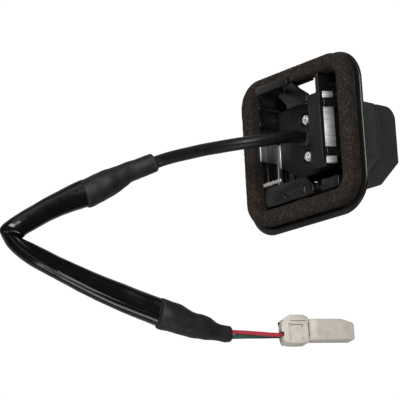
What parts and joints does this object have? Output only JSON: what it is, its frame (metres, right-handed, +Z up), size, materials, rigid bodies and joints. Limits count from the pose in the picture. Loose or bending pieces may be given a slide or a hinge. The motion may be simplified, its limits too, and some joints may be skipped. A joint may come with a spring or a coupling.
{
  "type": "backup camera kit",
  "caption": "Rear-view camera pod in a square gloss black bezel with foam gasket, with a sleeved lead that ends in a small ivory connector.",
  "frame": {"origin": "centre of the camera head's footprint box, on the table that the kit lies on; the lead is not counted", "axes": "+Z up from the table; +Y along the bezel's upright side, towards its top edge; -X towards the folded end of the lead"},
  "size_m": [0.1353, 0.0929, 0.0516],
  "materials": {
    "bezel_gloss": "moulded gloss black",
    "foam": "open-cell foam, brown-black",
    "zinc_steel": "zinc-plated spring steel",
    "screw_steel": "bright zinc",
    "housing_matte": "fine-textured black nylon",
    "seal_rubber": "matte black rubber",
    "lens_black": "black anodised",
    "lens_glass": "coated optical glass",
    "filter_glass": "infrared cut coating",
    "sensor_chip": "chip package",
    "board_green": "solder-masked board",
    "brass": "plain brass",
    "cable_jacket": "satin black PVC jacket",
    "heat_shrink": "matte charcoal polyolefin",
    "sleeve_vinyl": "soft glossy black vinyl",
    "wire_red": "red insulation",
    "wire_green": "dark green insulation",
    "wire_black": "black insulation",
    "wire_white": "white insulation",
    "connector_ivory": "natural ivory nylon",
    "retainer_white": "natural white nylon"
  },
  "bodies": {
    "kit": {"bezel": "bezel_gloss", "foam_gasket": "foam", "clip_right": "zinc_steel", "clip_left": "zinc_steel", "camera_rear_housing": "housing_matte", "mounting_rail": "housing_matte", "camera_front_cover": "housing_matte", "housing_seal": "seal_rubber", "case_screws": "screw_steel", "cable_gland": "seal_rubber", "lens_barrel": "lens_black", "lens_window": "lens_glass", "lens_elements": "lens_glass", "lens_seal": "seal_rubber", "lens_retainer_ring": "lens_black", "infrared_filter": "filter_glass", "image_sensor": "sensor_chip", "sensor_board": "board_green", "interface_board": "board_green", "board_spacers": "brass", "board_header": "connector_ivory", "camera_cable": "cable_jacket", "heat_shrink_upper": "heat_shrink", "protective_sleeve": "sleeve_vinyl", "heat_shrink_lower": "heat_shrink", "wire_red": "wire_red", "wire_green": "wire_green", "wire_black": "wire_black", "wire_white": "wire_white", "connector_housing": "connector_ivory", "connector_terminals": "brass"},
    "lock_collar": {"connector_retainer": "retainer_white"}
  },
  "joints": [
    {"name": "collar_slide", "type": "slide", "parent": "kit", "child": "lock_collar", "axis": [-1, 0, 0], "range_m": [0, 0.0015]}
  ]
}
